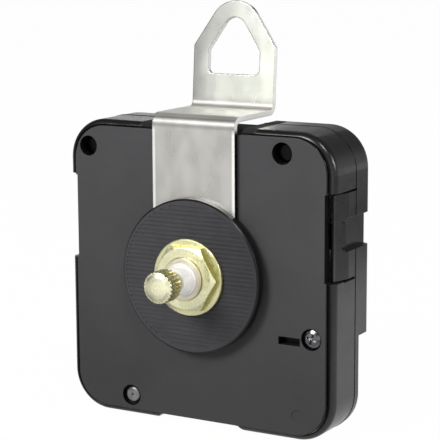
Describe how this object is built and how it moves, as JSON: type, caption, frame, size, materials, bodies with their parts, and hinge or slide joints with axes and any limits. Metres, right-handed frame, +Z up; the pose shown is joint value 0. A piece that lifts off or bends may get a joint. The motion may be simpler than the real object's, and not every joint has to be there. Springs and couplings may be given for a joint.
{
  "type": "quartz clock movement",
  "caption": "Square black quartz clock movement with a brass dial bush, nut, ribbed rubber washer, capped hand shafts and a bent metal hanger strap.",
  "frame": {"origin": "on the shaft axis, at the middle of the bare front end of the threaded bush, 5 mm in front of the case face", "axes": "+X to the right seen from the front, +Y from the hands towards the back, +Z up towards the hanging hole"},
  "size_m": [0.0562, 0.03, 0.0783],
  "materials": {
    "black_plastic": "fine grained black ABS",
    "brass": "bright turned brass",
    "rubber": "matt black rubber",
    "satin_steel": "satin steel",
    "white_plastic": "white acetal",
    "natural_plastic": "natural acetal",
    "ferrite": "dull black",
    "magnetic_steel": "punched magnetic sheet",
    "copper": "enamelled copper wire",
    "board_green": "green circuit laminate",
    "nickel": "nickel plated steel",
    "aluminium": "dull aluminium"
  },
  "bodies": {
    "case": {"front_cover": "black_plastic", "rear_housing": "black_plastic", "threaded_bush": "brass", "hex_nut": "brass", "brass_washer": "brass", "rubber_washer": "rubber", "hanger_strap": "satin_steel", "stator": "magnetic_steel", "coil_core": "magnetic_steel", "coil_bobbin": "natural_plastic", "coil_winding": "copper", "circuit_board": "board_green", "quartz_crystal": "nickel", "chip_blob": "ferrite", "battery_contact_negative": "nickel", "battery_contact_positive": "nickel", "middle_plate": "natural_plastic", "case_screw": "nickel", "corner_rivet": "aluminium"},
    "minute_hand_arbor": {"minute_arbor": "brass", "cap_nut": "brass", "clutch_spring": "satin_steel"},
    "hour_pipe": {"hour_wheel": "white_plastic"},
    "minute_wheel": {"minute_wheel": "natural_plastic"},
    "setting_stem": {"set_knob": "white_plastic", "setting_pinion": "natural_plastic"},
    "centre_wheel": {"centre_wheel": "natural_plastic"},
    "second_hand_arbor": {"second_arbor": "satin_steel", "second_wheel": "natural_plastic"},
    "third_wheel": {"third_wheel": "natural_plastic"},
    "fifth_wheel": {"fifth_wheel": "natural_plastic"},
    "rotor": {"rotor_pinion": "white_plastic", "rotor_magnet": "ferrite"}
  },
  "joints": [
    {"name": "second_spin", "type": "hinge", "parent": "case", "child": "second_hand_arbor", "pos_m": [0, 0.014, 0], "axis": [0, 1, 0], "continuous": true},
    {"name": "fifth_spin", "type": "hinge", "parent": "case", "child": "fifth_wheel", "pos_m": [0.00849, 0.015, 0.0049], "axis": [0, 1, 0], "continuous": true},
    {"name": "rotor_spin", "type": "hinge", "parent": "case", "child": "rotor", "pos_m": [0.01525, 0.015, 0.00736], "axis": [0, 1, 0], "continuous": true},
    {"name": "third_spin", "type": "hinge", "parent": "case", "child": "third_wheel", "pos_m": [-0.00913, 0.012, 0.00332], "axis": [0, 1, 0], "continuous": true},
    {"name": "centre_spin", "type": "hinge", "parent": "case", "child": "centre_wheel", "pos_m": [0, 0.0104, 0], "axis": [0, 1, 0], "continuous": true},
    {"name": "minute_spin", "type": "hinge", "parent": "case", "child": "minute_hand_arbor", "pos_m": [0, 0, 0], "axis": [0, 1, 0], "continuous": true},
    {"name": "minute_wheel_spin", "type": "hinge", "parent": "case", "child": "minute_wheel", "pos_m": [0.00891, 0.0085, -0.00125], "axis": [0, 1, 0], "continuous": true},
    {"name": "hour_spin", "type": "hinge", "parent": "case", "child": "hour_pipe", "pos_m": [0, 0, 0], "axis": [0, 1, 0], "continuous": true},
    {"name": "setting_spin", "type": "hinge", "parent": "case", "child": "setting_stem", "pos_m": [0.01888, 0.012, -0.00301], "axis": [0, 1, 0], "continuous": true}
  ],
  "couplings": [
    {"joint": "fifth_spin", "follows": "second_spin", "ratio": -6},
    {"joint": "rotor_spin", "follows": "second_spin", "ratio": 30},
    {"joint": "third_spin", "follows": "second_spin", "ratio": -0.13333},
    {"joint": "centre_spin", "follows": "second_spin", "ratio": 0.016667},
    {"joint": "minute_wheel_spin", "follows": "minute_spin", "ratio": -0.33333},
    {"joint": "hour_spin", "follows": "minute_spin", "ratio": 0.083333},
    {"joint": "setting_spin", "follows": "minute_spin", "ratio": 0.66667}
  ]
}
